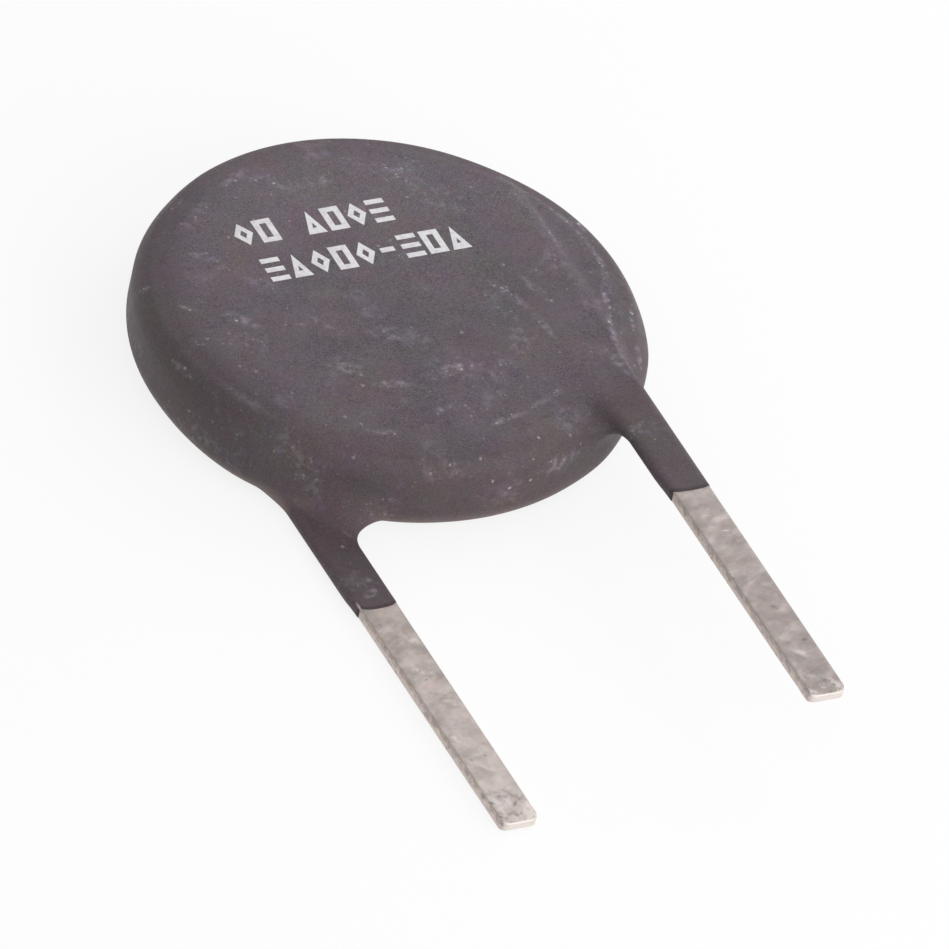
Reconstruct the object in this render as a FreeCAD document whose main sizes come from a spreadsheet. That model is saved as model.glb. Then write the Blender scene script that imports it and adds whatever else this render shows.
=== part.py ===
import FreeCAD, Part
import os

import Sketcher


# Disc thermistor with two flat leads, in millimetres.
# The disc lies on its back face: +Z is the outward normal of the front face,
# and both leads point towards -Y. The origin is the disc's axis on the back face.

doc = FreeCAD.newDocument("ntc_thermistor")
sheet = doc.addObject("Spreadsheet::Sheet", "Sizes")

driving_sizes = [
    ("ceramic_diameter", 30.0),
    ("ceramic_thickness", 4.2),
    ("ceramic_bevel", 0.3),
    ("electrode_margin", 0.8),
    ("electrode_thickness", 0.02),
    ("strip_width", 2.5),
    ("strip_thickness", 0.8),
    ("strip_edge_bevel", 0.08),
    ("tip_corner_radius", 0.55),
    ("strip_setback", 2.7),
    ("back_lead_bare", 20.5),
    ("front_lead_bare", 19.65),
    ("solder_film", 0.08),
    ("solder_leg", 0.5),
    ("solder_climb", 0.5),
    ("solder_margin", 0.2),
    ("coat_rim_wall", 1.0),
    ("coat_film", 0.1),
    ("coat_edge_radius", 2.2),
    ("sleeve_length", 5.65),
    ("sleeve_end_bulge", 0.15),
    ("sleeve_edge_bevel", 0.25),
    ("skirt_length", 2.85),
    ("skirt_rise", 0.7),
    ("skirt_outer_flare", 2.2),
    ("back_web_width", 2.3),
    ("front_web_width", 1.3),
    ("web_face_share", 0.45),
]

tiny = 1e-6
rim_flats = 8
flat_turn = 90 / rim_flats

for row, (alias, value) in enumerate(driving_sizes, start=1):
    sheet.set(f"A{row}", alias)
    sheet.set(f"B{row}", str(value))
    sheet.setAlias(f"B{row}", alias)
doc.recompute()


# Heights above the back face, from the strip's film up through the stack

strip_stack = "(Sizes.coat_film + Sizes.strip_thickness)"
electrode_stack = f"({strip_stack} + Sizes.solder_film)"
ceramic_base = f"({electrode_stack} + Sizes.electrode_thickness)"
ceramic_top = f"({ceramic_base} + Sizes.ceramic_thickness)"
total_thickness = f"({ceramic_top} + {ceramic_base})"


# Radii and distances in the plane of the disc. Each strip lies as a chord, set back from
# the electrode's edge, and the lead spacing of 20.5 mm follows from that.

coat_radius = "(Sizes.ceramic_diameter / 2 + Sizes.coat_rim_wall)"
electrode_radius = "(Sizes.ceramic_diameter / 2 - Sizes.electrode_margin)"
strip_outer = f"({electrode_radius} - Sizes.strip_setback)"
strip_inner = f"({strip_outer} - Sizes.strip_width)"
sleeve_outer = f"({strip_outer} + Sizes.coat_film)"
sleeve_inner = f"({strip_inner} - Sizes.coat_film)"
sleeve_thickness = "(Sizes.strip_thickness + 2 * Sizes.coat_film)"
solder_outer = f"({strip_outer} + Sizes.solder_leg)"
solder_inner = f"({strip_inner} - Sizes.solder_leg)"
solder_reach = f"(sqrt({electrode_radius} ^ 2 - {solder_outer} ^ 2) - Sizes.solder_margin)"
tab_reach = f"({solder_reach} - Sizes.solder_leg)"
sleeve_reach = f"({coat_radius} + Sizes.sleeve_length)"
back_lead_reach = f"({sleeve_reach} + Sizes.back_lead_bare)"
front_lead_reach = f"({sleeve_reach} + Sizes.front_lead_bare)"


def origin_plane(body, role):
    for feature in body.Origin.OriginFeatures:
        if feature.Role == role:
            return feature


def new_body(name):
    body = doc.addObject("PartDesign::Body", name)
    body.Label = name
    return body


def new_sketch(body, name, role, offset):
    sketch = body.newObject("Sketcher::SketchObject", name)
    sketch.AttachmentSupport = [(origin_plane(body, role), "")]
    sketch.MapMode = "FlatFace"
    sketch.setExpression("AttachmentOffset.Base.z", offset)
    return sketch


def bind(sketch, constraint, expression):
    index = sketch.addConstraint(constraint)
    sketch.setExpression(f"Constraints[{index}]", expression)


def place_corner(sketch, line, corner):
    across, along = corner
    value = float(sketch.evalExpression(across))
    bind(sketch, Sketcher.Constraint("DistanceX", -1, 1, line, 1, value), across)
    value = float(sketch.evalExpression(along))
    bind(sketch, Sketcher.Constraint("DistanceY", -1, 1, line, 1, value), along)


def draw_outline(sketch, corners):
    points = []
    for across, along in corners:
        x = float(sketch.evalExpression(across))
        y = float(sketch.evalExpression(along))
        points.append(FreeCAD.Vector(x, y, 0))
    count = len(points)
    for index in range(count):
        following = points[(index + 1) % count]
        sketch.addGeometry(Part.LineSegment(points[index], following), False)
    for index in range(count):
        following = (index + 1) % count
        sketch.addConstraint(Sketcher.Constraint("Coincident", index, 2, following, 1))
    for index, corner in enumerate(corners):
        place_corner(sketch, index, corner)


def draw_circle(sketch, radius):
    value = float(sketch.evalExpression(radius))
    circle = Part.Circle(FreeCAD.Vector(0, 0, 0), FreeCAD.Vector(0, 0, 1), value)
    sketch.addGeometry(circle, False)
    sketch.addConstraint(Sketcher.Constraint("Coincident", 0, 3, -1, 1))
    bind(sketch, Sketcher.Constraint("Radius", 0, value), radius)


def pad(body, name, sketch, length):
    feature = body.newObject("PartDesign::Pad", name)
    feature.Profile = sketch
    feature.setExpression("Length", length)
    doc.recompute()
    return feature


def loft(body, name, sections):
    feature = body.newObject("PartDesign::AdditiveLoft", name)
    feature.Profile = sections[0]
    feature.Sections = sections[1:]
    doc.recompute()
    return feature


def revolve(body, name, sketch):
    feature = body.newObject("PartDesign::Revolution", name)
    feature.Profile = sketch
    feature.ReferenceAxis = (sketch, ["V_Axis"])
    feature.Angle = 360
    doc.recompute()
    return feature


def dress(body, kind, name, base, edges, quantity, expression):
    feature = body.newObject(kind, name)
    feature.Base = (base, edges)
    feature.setExpression(quantity, expression)
    doc.recompute()
    return feature


def edges_where(feature, test):
    names = []
    for index, edge in enumerate(feature.Shape.Edges, start=1):
        if test(edge):
            names.append(f"Edge{index}")
    return names


def is_circle(edge):
    return isinstance(edge.Curve, Part.Circle)


def is_level(edge):
    return edge.BoundBox.ZLength < tiny


# Ceramic disc, pressed with a small bevel at both rims

ceramic = new_body("ceramic_disc")
ceramic_sketch = new_sketch(ceramic, "ceramic_outline", "XY_Plane", ceramic_base)
draw_circle(ceramic_sketch, "Sizes.ceramic_diameter / 2")
ceramic_pad = pad(ceramic, "ceramic_pressing", ceramic_sketch, "Sizes.ceramic_thickness")
ceramic_rims = edges_where(ceramic_pad, is_circle)
dress(ceramic, "PartDesign::Chamfer", "ceramic_rim_bevel", ceramic_pad, ceramic_rims,
      "Size", "Sizes.ceramic_bevel")


# Silver electrode fired on each face

def make_electrode(side, base):
    electrode = doc.addObject("Part::Cylinder", f"electrode_{side}")
    electrode.Label = f"electrode_{side}"
    electrode.setExpression("Radius", electrode_radius)
    electrode.setExpression("Height", "Sizes.electrode_thickness")
    electrode.setExpression("Placement.Base.z", base)
    return electrode


electrode_back = make_electrode("back", electrode_stack)
electrode_front = make_electrode("front", ceramic_top)


# Flat strip lead: its tab lies as a chord on the disc, and its tip is rounded

def corner_row(inner, outer, low, high, sign):
    return [
        (f"{sign} * {inner}", low),
        (f"{sign} * {outer}", low),
        (f"{sign} * {outer}", high),
        (f"{sign} * {inner}", high),
    ]


def make_lead(side, sign, base, reach):
    lead = new_body(f"lead_{side}")
    sketch = new_sketch(lead, f"lead_{side}_outline", "XY_Plane", base)
    draw_outline(sketch, corner_row(strip_inner, strip_outer, f"-{reach}", tab_reach, sign))
    blank = pad(lead, f"lead_{side}_blank", sketch, "Sizes.strip_thickness")
    tip = -float(sheet.evalExpression(reach))

    def at_tip(edge):
        return not is_level(edge) and abs(edge.CenterOfMass.y - tip) < tiny

    rounded = dress(lead, "PartDesign::Fillet", f"lead_{side}_tip_corners", blank,
                    edges_where(blank, at_tip), "Radius", "Sizes.tip_corner_radius")
    dress(lead, "PartDesign::Chamfer", f"lead_{side}_edges", rounded,
          edges_where(rounded, is_level), "Size", "Sizes.strip_edge_bevel")
    return lead


front_strip_base = f"({ceramic_top} + Sizes.electrode_thickness + Sizes.solder_film)"
lead_back = make_lead("back", "-1", "Sizes.coat_film", back_lead_reach)
lead_front = make_lead("front", "1", front_strip_base, front_lead_reach)


# Solder bed between electrode and tab, sloping up the strip's sides all round

def make_solder(side, sign, foot, crest, lead):
    bead = new_body(f"solder_bead_{side}")
    foot_sketch = new_sketch(bead, f"solder_{side}_foot", "XY_Plane", foot)
    foot_corners = corner_row(solder_inner, solder_outer, f"-{solder_reach}", solder_reach, sign)
    draw_outline(foot_sketch, foot_corners)
    crest_sketch = new_sketch(bead, f"solder_{side}_crest", "XY_Plane", crest)
    crest_corners = corner_row(strip_inner, strip_outer, f"-{tab_reach}", tab_reach, sign)
    draw_outline(crest_sketch, crest_corners)
    loft(bead, f"solder_{side}_slopes", [foot_sketch, crest_sketch])
    solder = doc.addObject("Part::Cut", f"solder_{side}")
    solder.Label = f"solder_{side}"
    solder.Base = bead
    solder.Tool = lead
    return solder


solder_rise = "(Sizes.solder_film + Sizes.solder_climb)"
front_electrode_face = f"({ceramic_top} + Sizes.electrode_thickness)"
solder_back = make_solder("back", "-1", electrode_stack, f"{electrode_stack} - {solder_rise}",
                          lead_back)
solder_front = make_solder("front", "1", front_electrode_face,
                           f"{front_electrode_face} + {solder_rise}", lead_front)


# Outer form of the coat over the disc, revolved from half of its section. Both rims are
# round, in narrow flats that lie on the true round and keep the mesh light.

def edge_round():
    points = []
    for index in range(rim_flats + 1):
        turn = index * flat_turn
        radius = f"{coat_radius} - Sizes.coat_edge_radius * (1 - sin({turn}))"
        height = f"Sizes.coat_edge_radius * (1 - cos({turn}))"
        points.append((radius, height))
    return points


back_edge = edge_round()
front_edge = [(radius, f"{total_thickness} - {height}") for radius, height in edge_round()]
disc_section = [("0", "0")] + back_edge + front_edge[::-1] + [("0", total_thickness)]

disc_form = new_body("disc_form")
disc_sketch = new_sketch(disc_form, "disc_section", "XZ_Plane", "0")
draw_outline(disc_sketch, disc_section)
revolve(disc_form, "disc_turned", disc_sketch)


# Sleeve of coat on each lead. Its end bulges a little along the lead, and its root
# spreads into the rim as a skirt: a concave web on the inner side, a slimmer flare on
# the outer side, and a rise towards the middle of the rim. Each grows with the square
# of the distance, so the skirt leaves the sleeve smoothly and ends inside the disc.

rim_at_inner = f"sqrt({coat_radius} ^ 2 - {sleeve_inner} ^ 2)"
rim_at_outer = f"sqrt({coat_radius} ^ 2 - {sleeve_outer} ^ 2)"
skirt_reach = f"({rim_at_inner} + Sizes.skirt_length)"
skirt_root = f"sqrt(({coat_radius} - Sizes.coat_edge_radius) ^ 2 - {sleeve_outer} ^ 2)"
skirt_halfway = f"({rim_at_inner} + Sizes.skirt_length / 2)"
bulge_radius = (f"((({sleeve_outer} - {sleeve_inner}) / 2) ^ 2 + Sizes.sleeve_end_bulge ^ 2)"
                " / (2 * Sizes.sleeve_end_bulge)")


def spread_at(distance):
    return f"(({skirt_reach} - {distance}) / Sizes.skirt_length) ^ 2"


def outer_spread_at(distance):
    return f"(({rim_at_inner} - {distance}) / ({rim_at_inner} - {skirt_root})) ^ 2"


def draw_sleeve(sketch, sign):
    sides = [f"{sign} * {sleeve_inner}", f"{sign} * {sleeve_outer}"]
    left, right = sorted(sides, key=sketch.evalExpression)
    left_x = float(sketch.evalExpression(left))
    right_x = float(sketch.evalExpression(right))
    root_y = -float(sketch.evalExpression(skirt_reach))
    end_y = -float(sketch.evalExpression(sleeve_reach))
    bulge_y = end_y - float(sketch.evalExpression("Sizes.sleeve_end_bulge"))
    root_left = FreeCAD.Vector(left_x, root_y, 0)
    root_right = FreeCAD.Vector(right_x, root_y, 0)
    end_left = FreeCAD.Vector(left_x, end_y, 0)
    end_right = FreeCAD.Vector(right_x, end_y, 0)
    crown = FreeCAD.Vector((left_x + right_x) / 2, bulge_y, 0)
    sketch.addGeometry(Part.LineSegment(root_left, end_left), False)
    sketch.addGeometry(Part.Arc(end_left, crown, end_right), False)
    sketch.addGeometry(Part.LineSegment(end_right, root_right), False)
    sketch.addGeometry(Part.LineSegment(root_right, root_left), False)
    sketch.addConstraint(Sketcher.Constraint("Coincident", 0, 2, 1, 1))
    sketch.addConstraint(Sketcher.Constraint("Coincident", 1, 2, 2, 1))
    sketch.addConstraint(Sketcher.Constraint("Coincident", 2, 2, 3, 1))
    sketch.addConstraint(Sketcher.Constraint("Coincident", 3, 2, 0, 1))
    sketch.addConstraint(Sketcher.Constraint("Vertical", 0))
    sketch.addConstraint(Sketcher.Constraint("Horizontal", 0, 2, 2, 1))
    place_corner(sketch, 0, (left, f"-{skirt_reach}"))
    place_corner(sketch, 3, (right, f"-{skirt_reach}"))
    end_drop = Sketcher.Constraint("DistanceY", -1, 1, 2, 1, end_y)
    bind(sketch, end_drop, f"-{sleeve_reach}")
    radius = float(sketch.evalExpression(bulge_radius))
    bind(sketch, Sketcher.Constraint("Radius", 1, radius), bulge_radius)


def skirt_section(body, name, side, sign, face, towards_middle, station):
    position, distance, spread, outer_spread = station
    sketch = new_sketch(body, f"{name}_{position}", "XZ_Plane", distance)
    web = f"({spread} * Sizes.{side}_web_width)"
    flare = f"({outer_spread} * Sizes.skirt_outer_flare)"
    rise = f"({sleeve_thickness} + {spread} * Sizes.skirt_rise)"
    bevel = "Sizes.sleeve_edge_bevel"
    bevel_share = f"({bevel} / {rise})"
    levels = [
        ("0", bevel),
        (bevel_share, "0"),
        (f"(1 - {bevel_share})", "0"),
        ("1", bevel),
    ]
    inner_side = []
    outer_side = []
    for level, cut in levels:
        web_share = f"(Sizes.web_face_share + (1 - Sizes.web_face_share) * {level})"
        height = f"({face} + {towards_middle} * {rise} * {level})"
        inner_side.append((f"{sign} * ({sleeve_inner} - {web} * {web_share} + {cut})", height))
        outer_side.append((f"{sign} * ({sleeve_outer} + {flare} * {level} - {cut})", height))
    draw_outline(sketch, outer_side + inner_side[::-1])
    return sketch


def runs_along_lead(edge):
    return edge.BoundBox.YLength > edge.BoundBox.XLength and not is_circle(edge)


def make_sleeve(side, sign, face, towards_middle, base):
    form = new_body(f"sleeve_form_{side}")
    sketch = new_sketch(form, f"sleeve_{side}_outline", "XY_Plane", base)
    draw_sleeve(sketch, sign)
    blank = pad(form, f"sleeve_{side}_blank", sketch, sleeve_thickness)
    dress(form, "PartDesign::Chamfer", f"sleeve_{side}_edges", blank,
          edges_where(blank, runs_along_lead), "Size", "Sizes.sleeve_edge_bevel")
    stations = [
        ("start", skirt_reach, "0", "0"),
        ("halfway", skirt_halfway, spread_at(skirt_halfway), "0"),
        ("inner_rim", rim_at_inner, "1", "0"),
        ("outer_rim", rim_at_outer, spread_at(rim_at_outer), outer_spread_at(rim_at_outer)),
        ("root", skirt_root, spread_at(rim_at_outer), "1"),
    ]
    sections = []
    for station in stations:
        sections.append(skirt_section(form, f"skirt_{side}", side, sign, face,
                                      towards_middle, station))
    loft(form, f"skirt_{side}", sections)
    return form


sleeve_back = make_sleeve("back", "-1", "0", "1", "0")
sleeve_front = make_sleeve("front", "1", total_thickness, "-1",
                           f"({total_thickness} - {sleeve_thickness})")


# Coating: the outer form less everything that it was dipped over

coat_form = doc.addObject("Part::MultiFuse", "coat_form")
coat_form.Shapes = [disc_form, sleeve_back, sleeve_front]

core = doc.addObject("Part::MultiFuse", "dipped_core")
core.Shapes = [ceramic, electrode_back, electrode_front, solder_back, solder_front,
               lead_back, lead_front]

coating = doc.addObject("Part::Cut", "coating")
coating.Label = "coating"
coating.Base = coat_form
coating.Tool = core

doc.recompute()


# Every object is sound before anything is written

for item in doc.Objects:
    if "Invalid" in item.State or "Error" in item.State:
        raise RuntimeError(f"{item.Label} failed: {item.State}")

sub_parts = [coating, ceramic, electrode_back, electrode_front, solder_back, solder_front,
             lead_back, lead_front]

os.makedirs("parts", exist_ok=True)
for sub_part in sub_parts:
    shape = sub_part.Shape
    if shape.isNull() or not shape.isValid():
        raise RuntimeError(f"{sub_part.Label} has no valid shape")
    if len(shape.Solids) != 1:
        raise RuntimeError(f"{sub_part.Label} is not one solid")
    shape.exportStep(os.path.join("parts", f"{sub_part.Label}.step"))
    print(sub_part.Label, round(shape.Volume, 3), "mm3")
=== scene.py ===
import bpy
import bmesh
import math
import numpy as np
from mathutils import Matrix, Vector
from mathutils.bvhtree import BVHTree


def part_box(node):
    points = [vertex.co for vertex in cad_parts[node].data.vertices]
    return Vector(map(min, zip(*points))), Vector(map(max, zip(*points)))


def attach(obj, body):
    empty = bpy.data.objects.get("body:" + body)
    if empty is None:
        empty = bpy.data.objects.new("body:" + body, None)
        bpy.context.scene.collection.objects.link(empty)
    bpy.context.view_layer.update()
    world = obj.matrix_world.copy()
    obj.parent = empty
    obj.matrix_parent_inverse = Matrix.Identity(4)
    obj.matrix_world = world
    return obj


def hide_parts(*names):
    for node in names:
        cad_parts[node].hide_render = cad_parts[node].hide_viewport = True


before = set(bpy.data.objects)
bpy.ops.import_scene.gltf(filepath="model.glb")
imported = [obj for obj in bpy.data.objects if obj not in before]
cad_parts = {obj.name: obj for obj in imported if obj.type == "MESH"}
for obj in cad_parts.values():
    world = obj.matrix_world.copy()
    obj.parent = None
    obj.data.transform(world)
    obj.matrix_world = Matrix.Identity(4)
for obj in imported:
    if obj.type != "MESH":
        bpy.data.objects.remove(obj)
scene = bpy.context.scene
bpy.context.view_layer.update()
mm = 0.001  # lengths below are in millimetres, and become metres when a mesh is made


def nodeBox(name):
    low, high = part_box(name)
    return np.array(low) / mm, np.array(high) / mm


coatLow, coatHigh = nodeBox("coating")
discRadius = coatHigh[0]
discHeight = coatHigh[2]
discMiddle = discHeight / 2
stripBack = nodeBox("lead_back")
stripFront = nodeBox("lead_front")
stripThick = stripBack[1][2] - stripBack[0][2]
stripRise = stripFront[0][2] - stripBack[0][2]
stripMiddle = (stripFront[0][0] + stripFront[1][0]) / 2
print("frame loaded, disc", round(2 * discRadius, 2), "x", round(discHeight, 2), "mm")


# Number helpers

def ramp(value, start, end):
    share = np.clip((value - start) / (end - start), 0, 1)
    return share * share * (3 - 2 * share)


def lumps(points, cell, seed):
    # smooth random values between -1 and 1, one lump about every cell millimetres
    dice = np.random.RandomState(seed)
    order = dice.permutation(256)
    values = dice.uniform(-1, 1, 256)
    place = points / cell
    corner = np.floor(place).astype(int)
    share = place - corner
    share = share * share * (3 - 2 * share)
    total = np.zeros(len(points))
    for dx in (0, 1):
        for dy in (0, 1):
            for dz in (0, 1):
                pick = order[(corner[:, 0] + dx) & 255]
                pick = order[(pick + corner[:, 1] + dy) & 255]
                pick = order[(pick + corner[:, 2] + dz) & 255]
                weight = np.where(dx, share[:, 0], 1 - share[:, 0])
                weight = weight * np.where(dy, share[:, 1], 1 - share[:, 1])
                weight = weight * np.where(dz, share[:, 2], 1 - share[:, 2])
                total += weight * values[pick]
    return total


def linearColour(red, green, blue):
    # a colour as it reads on screen, 0 to 255, turned into the shader's own numbers
    channels = []
    for level in (red, green, blue):
        level = level / 255
        channels.append(level / 12.92 if level <= 0.04045 else ((level + 0.055) / 1.055) ** 2.4)
    return (*channels, 1)


# Node helpers

class Board:
    # one node tree, with short ways to add a node and to wire it
    def __init__(self, tree):
        self.tree = tree

    def add(self, kind, settings=None, **inputs):
        node = self.tree.nodes.new(kind)
        for name, value in (settings or {}).items():
            setattr(node, name, value)
        for name, value in inputs.items():
            self.feed(node, name.replace("_", " "), value)
        return node

    def feed(self, node, name, value):
        socket = node.inputs[int(name) if name.isdigit() else name]
        if isinstance(value, bpy.types.NodeSocket):
            self.tree.links.new(value, socket)
        else:
            socket.default_value = value

    def math(self, operation, first, second=0.0, third=None):
        node = self.tree.nodes.new("ShaderNodeMath")
        node.operation = operation
        self.feed(node, "0", first)
        self.feed(node, "1", second)
        if third is not None:
            self.feed(node, "2", third)
        return node.outputs[0]

    def times(self, first, second, plus=None):
        return self.math("MULTIPLY" if plus is None else "MULTIPLY_ADD", first, second, plus)

    def product(self, *values):
        total = values[0]
        for value in values[1:]:
            total = self.times(total, value)
        return total

    def vector(self, operation, first, second=None):
        node = self.tree.nodes.new("ShaderNodeVectorMath")
        node.operation = operation
        self.feed(node, "0", first)
        if second is not None:
            self.feed(node, "Scale" if operation == "SCALE" else "1", second)
        return node.outputs["Value" if operation == "LENGTH" else "Vector"]

    def range(self, value, low, high, toLow=0.0, toHigh=1.0):
        node = self.add("ShaderNodeMapRange", {"interpolation_type": "SMOOTHSTEP"})
        for name, given in (("Value", value), ("From Min", low), ("From Max", high),
                            ("To Min", toLow), ("To Max", toHigh)):
            self.feed(node, name, given)
        return node.outputs["Result"]

    def blend(self, factor, first, second, way="MIX"):
        node = self.tree.nodes.new("ShaderNodeMix")
        node.data_type = "RGBA"
        node.blend_type = way
        for index, value in (("0", factor), ("6", first), ("7", second)):
            self.feed(node, index, value)
        return node.outputs[2]

    def between(self, factor, first, second):
        return self.blend(factor, linearColour(*first), linearColour(*second))

    def layer(self, colour, mask, share, tone):
        # lays a tone, as it reads on screen, over a colour where the mask is
        return self.blend(self.times(mask, share), colour, linearColour(*tone))

    def turned(self, place, angles):
        node = self.add("ShaderNodeVectorRotate", {"rotation_type": "EULER_XYZ"}, Vector=place,
                        Rotation=angles)
        return node.outputs[0]

    def group(self, tree, **inputs):
        node = self.tree.nodes.new("ShaderNodeGroup")
        node.node_tree = tree
        for name, value in inputs.items():
            self.feed(node, name, value)
        return node.outputs[0]


def startGroup(name, inputs, output, kind="Float"):
    # every group takes the place of a point, and the inputs given with their usual values
    tree = bpy.data.node_groups.new(name, "ShaderNodeTree")
    sides = tree.interface
    sides.new_socket(name="Place", in_out="INPUT", socket_type="NodeSocketVector")
    for title, value in inputs.items():
        sort = "Float" if isinstance(value, float) else "Vector"
        socket = sides.new_socket(name=title, in_out="INPUT", socket_type=f"NodeSocket{sort}")
        socket.default_value = value
    sides.new_socket(name=output, in_out="OUTPUT", socket_type=f"NodeSocket{kind}")
    board = Board(tree)
    given = tree.nodes.new("NodeGroupInput")
    result = tree.nodes.new("NodeGroupOutput")
    return board, given.outputs, result


def sizedNoise(board, given, detail, roughness=0.5):
    scale = board.math("DIVIDE", 1.0, given["Size"])
    return board.add("ShaderNodeTexNoise", Vector=given["Place"], Scale=scale, Detail=detail,
                     Roughness=roughness).outputs


def makeClouds():
    inputs = {"Size": 3.0, "Detail": 3.0, "From": 0.4, "To": 0.6}
    board, given, result = startGroup("softClouds", inputs, "Mask")
    noise = sizedNoise(board, given, given["Detail"])
    board.feed(result, "Mask", board.range(noise["Fac"], given["From"], given["To"]))
    return board.tree


def makeSpecks():
    inputs = {"Spacing": 1.0, "Reach": 0.2, "Share": 0.3}
    board, given, result = startGroup("dustSpecks", inputs, "Mask")
    wobble = board.add("ShaderNodeTexNoise", Vector=given["Place"], Scale=3.0, Detail=2.0)
    shift = board.vector("SUBTRACT", wobble.outputs["Color"], (0.5, 0.5, 0.5))
    moved = board.vector("ADD", given["Place"], board.vector("SCALE", shift, 0.14))
    cells = board.add("ShaderNodeTexVoronoi", Vector=moved,
                      Scale=board.math("DIVIDE", 1.0, given["Spacing"]))
    chance = board.add("ShaderNodeSeparateColor", Color=cells.outputs["Color"])
    chosen = board.math("LESS_THAN", chance.outputs["Red"], given["Share"])
    size = board.times(given["Reach"], board.math("ADD", chance.outputs["Green"], 0.35))
    inside = board.range(cells.outputs["Distance"], size, board.times(size, 0.45))
    strength = board.times(chance.outputs["Blue"], 0.7, 0.3)
    board.feed(result, "Mask", board.product(inside, chosen, strength))
    return board.tree


def makeStreaks():
    inputs = {"Turn": (0, 0, 0), "Stretch": (1, 1, 1), "From": 0.6, "To": 0.75}
    board, given, result = startGroup("rubStreaks", inputs, "Mask")
    turned = board.turned(given["Place"], given["Turn"])
    stretched = board.vector("DIVIDE", turned, given["Stretch"])
    noise = board.add("ShaderNodeTexNoise", Vector=stretched, Scale=1.0, Detail=2.0)
    board.feed(result, "Mask", board.range(noise.outputs["Fac"], given["From"], given["To"]))
    return board.tree


def makePatch():
    inputs = {"Centre": (0, 0, 0), "Turn": (0, 0, 0), "Reach": (1, 1, 1), "Strength": 1.0}
    board, given, result = startGroup("dustPatch", inputs, "Mask")
    offset = board.vector("SUBTRACT", given["Place"], given["Centre"])
    turned = board.turned(offset, given["Turn"])
    distance = board.vector("LENGTH", board.vector("DIVIDE", turned, given["Reach"]))
    soft = board.range(distance, 1.0, 0.15)
    board.feed(result, "Mask", board.times(soft, given["Strength"]))
    return board.tree


def makeGrain():
    board, given, result = startGroup("fineGrain", {"Size": 0.2, "Depth": 0.004}, "Height")
    centred = board.math("SUBTRACT", sizedNoise(board, given, 3.0)["Fac"], 0.5)
    board.feed(result, "Height", board.times(centred, given["Depth"]))
    return board.tree


def makeTint():
    inputs = {"Size": 5.0, "Amount": 0.3}
    board, given, result = startGroup("tintDrift", inputs, "Tint", "Vector")
    noise = sizedNoise(board, given, 6.0, 0.92)
    drift = board.vector("SUBTRACT", noise["Color"], (0.5, 0.5, 0.5))
    drift = board.vector("SCALE", drift, given["Amount"])
    board.feed(result, "Tint", board.vector("ADD", drift, (1, 1, 1)))
    return board.tree


softClouds = makeClouds()
dustSpecks = makeSpecks()
rubStreaks = makeStreaks()
dustPatch = makePatch()
fineGrain = makeGrain()
tintDrift = makeTint()


def clouds(board, place, size, detail, low, high, shift=None):
    moved = board.vector("ADD", place, shift) if shift else place
    return board.group(softClouds, Place=moved, Size=size, Detail=detail, From=low, To=high)


def oval(board, place, centre, turn, reach, strength=1.0):
    # a soft oval, turned by so many degrees as the front face shows it
    return board.group(dustPatch, Place=place, Centre=centre, Turn=(0, 0, math.radians(-turn)),
                       Reach=reach, Strength=strength)


def startMaterial(name, roughness, metallic=0.0, specular=0.5):
    material = bpy.data.materials.new(name)
    material.use_nodes = True
    board = Board(material.node_tree)
    shader = material.node_tree.nodes["Principled BSDF"]
    board.feed(shader, "Roughness", roughness)
    board.feed(shader, "Metallic", metallic)
    board.feed(shader, "Specular IOR Level", specular)
    where = board.add("ShaderNodeTexCoord")
    place = board.vector("SCALE", where.outputs["Object"], 1 / mm)
    return material, board, shader, place


def besideStrip(board, spot):
    # how far a point lies from the strips' centre lines, along X
    beside = board.math("SUBTRACT", board.math("ABSOLUTE", spot["X"]), stripMiddle)
    return board.math("ABSOLUTE", beside)


def finishBump(board, shader, height):
    bump = board.add("ShaderNodeBump", Height=height, Distance=mm, Strength=1.0)
    board.feed(shader, "Normal", bump.outputs["Normal"])


# Coat material: matt, warm dark grey, with clouds of pale dust, specks and rubbed streaks

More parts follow.
